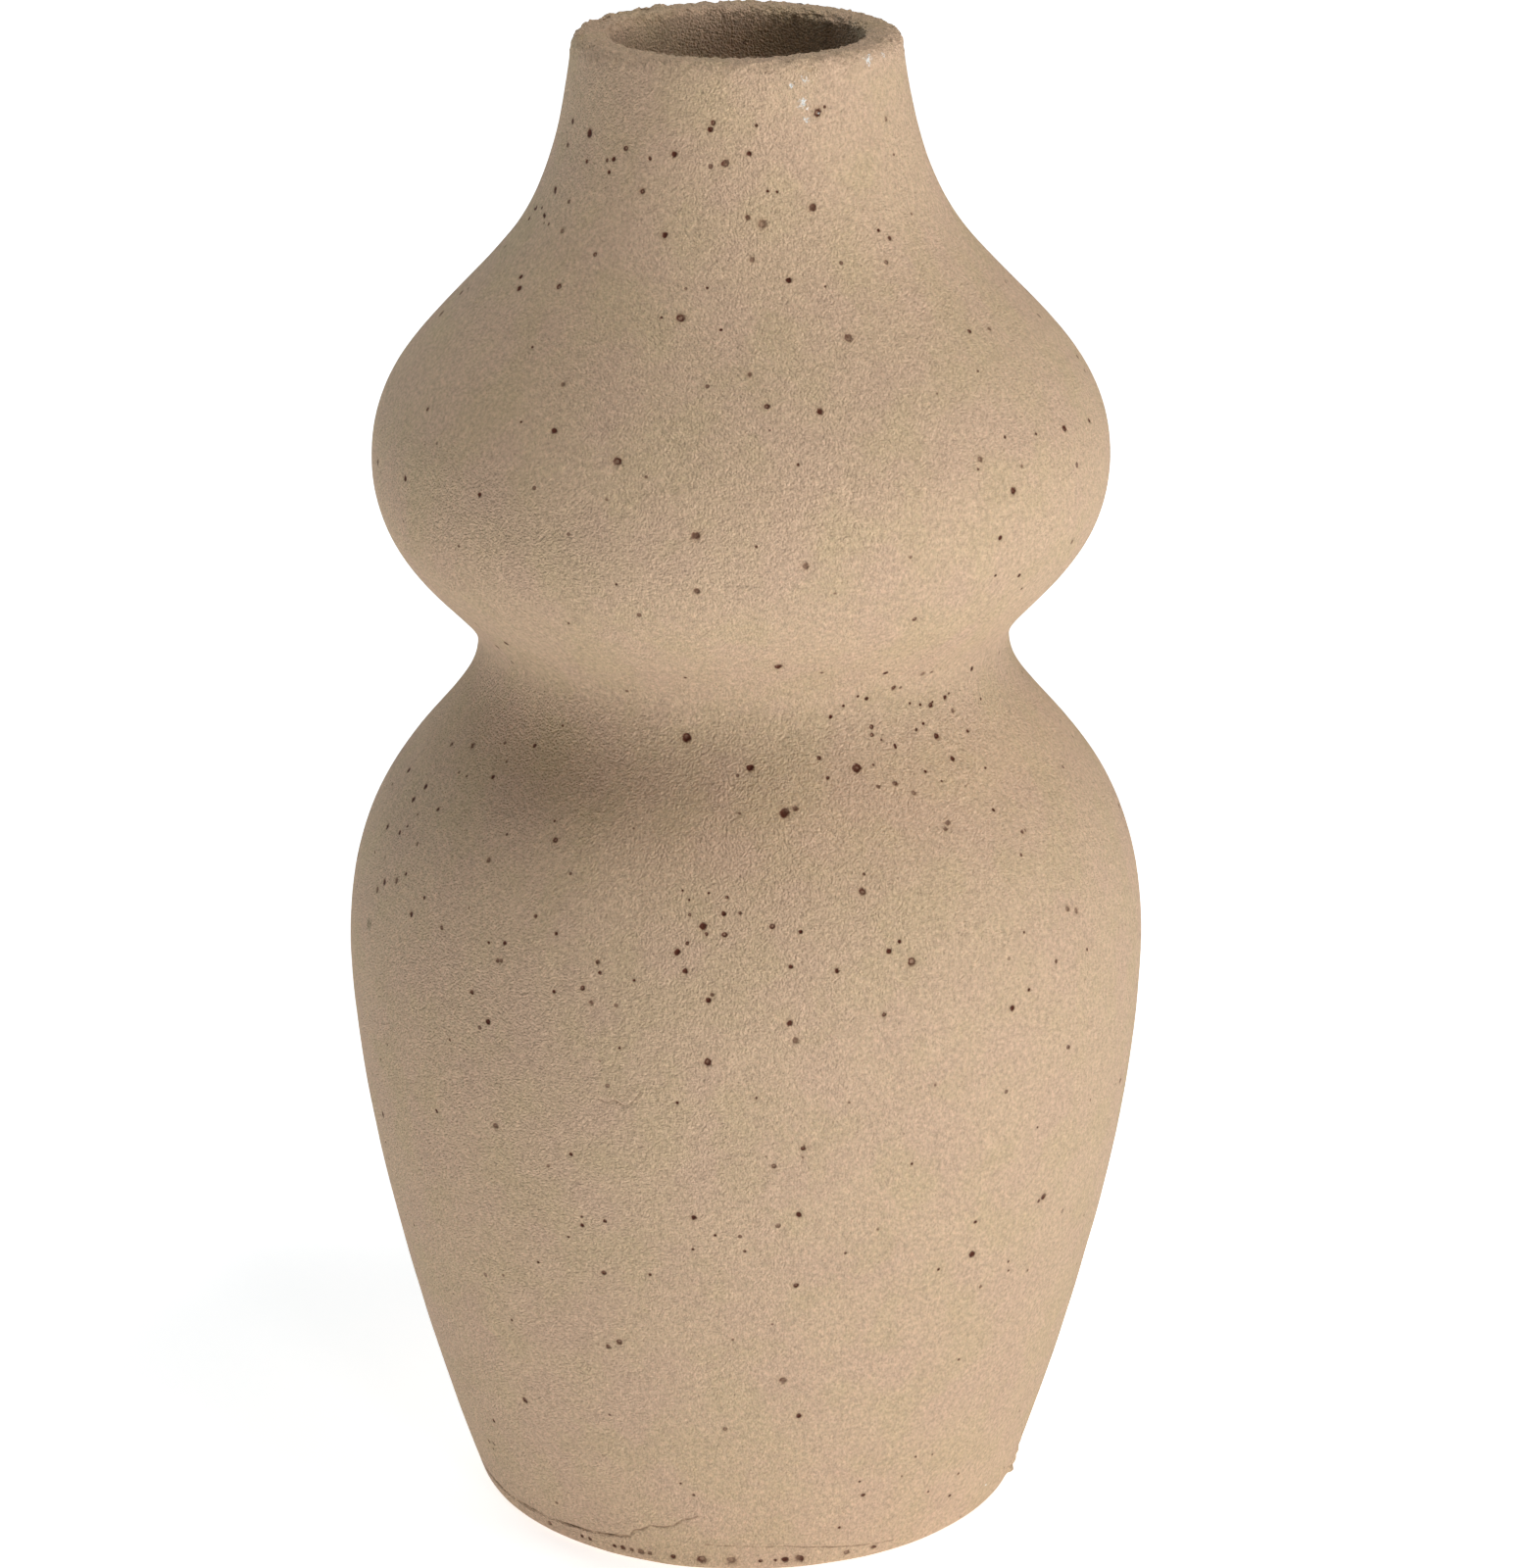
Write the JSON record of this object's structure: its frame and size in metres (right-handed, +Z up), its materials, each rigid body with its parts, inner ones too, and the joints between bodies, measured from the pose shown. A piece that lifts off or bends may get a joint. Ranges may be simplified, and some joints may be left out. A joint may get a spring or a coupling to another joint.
{
  "type": "double gourd vase",
  "caption": "Unglazed speckled stoneware vase in a double-gourd shape: a round upper bulb with a short open neck on a taller lower bulb, for holding stems or branches.",
  "frame": {"origin": "middle of the foot, in the plane of the ring that the vase stands on", "axes": "+Z up along the vase's axis, from the foot to the mouth; the vase is round about Z, so X and Y are free"},
  "size_m": [0.133, 0.133, 0.25],
  "materials": {
    "stoneware": "raw, matte, sandy, with iron specks",
    "slip": "raw, matte, smeared slip"
  },
  "bodies": {
    "root": {"base_slab": "stoneware", "foot_slip_seam": "slip", "lower_bulb": "stoneware", "waist_slip_seam": "slip", "upper_bulb": "stoneware", "neck_slip_seam": "slip", "neck_collar": "stoneware"}
  },
  "joints": []
}
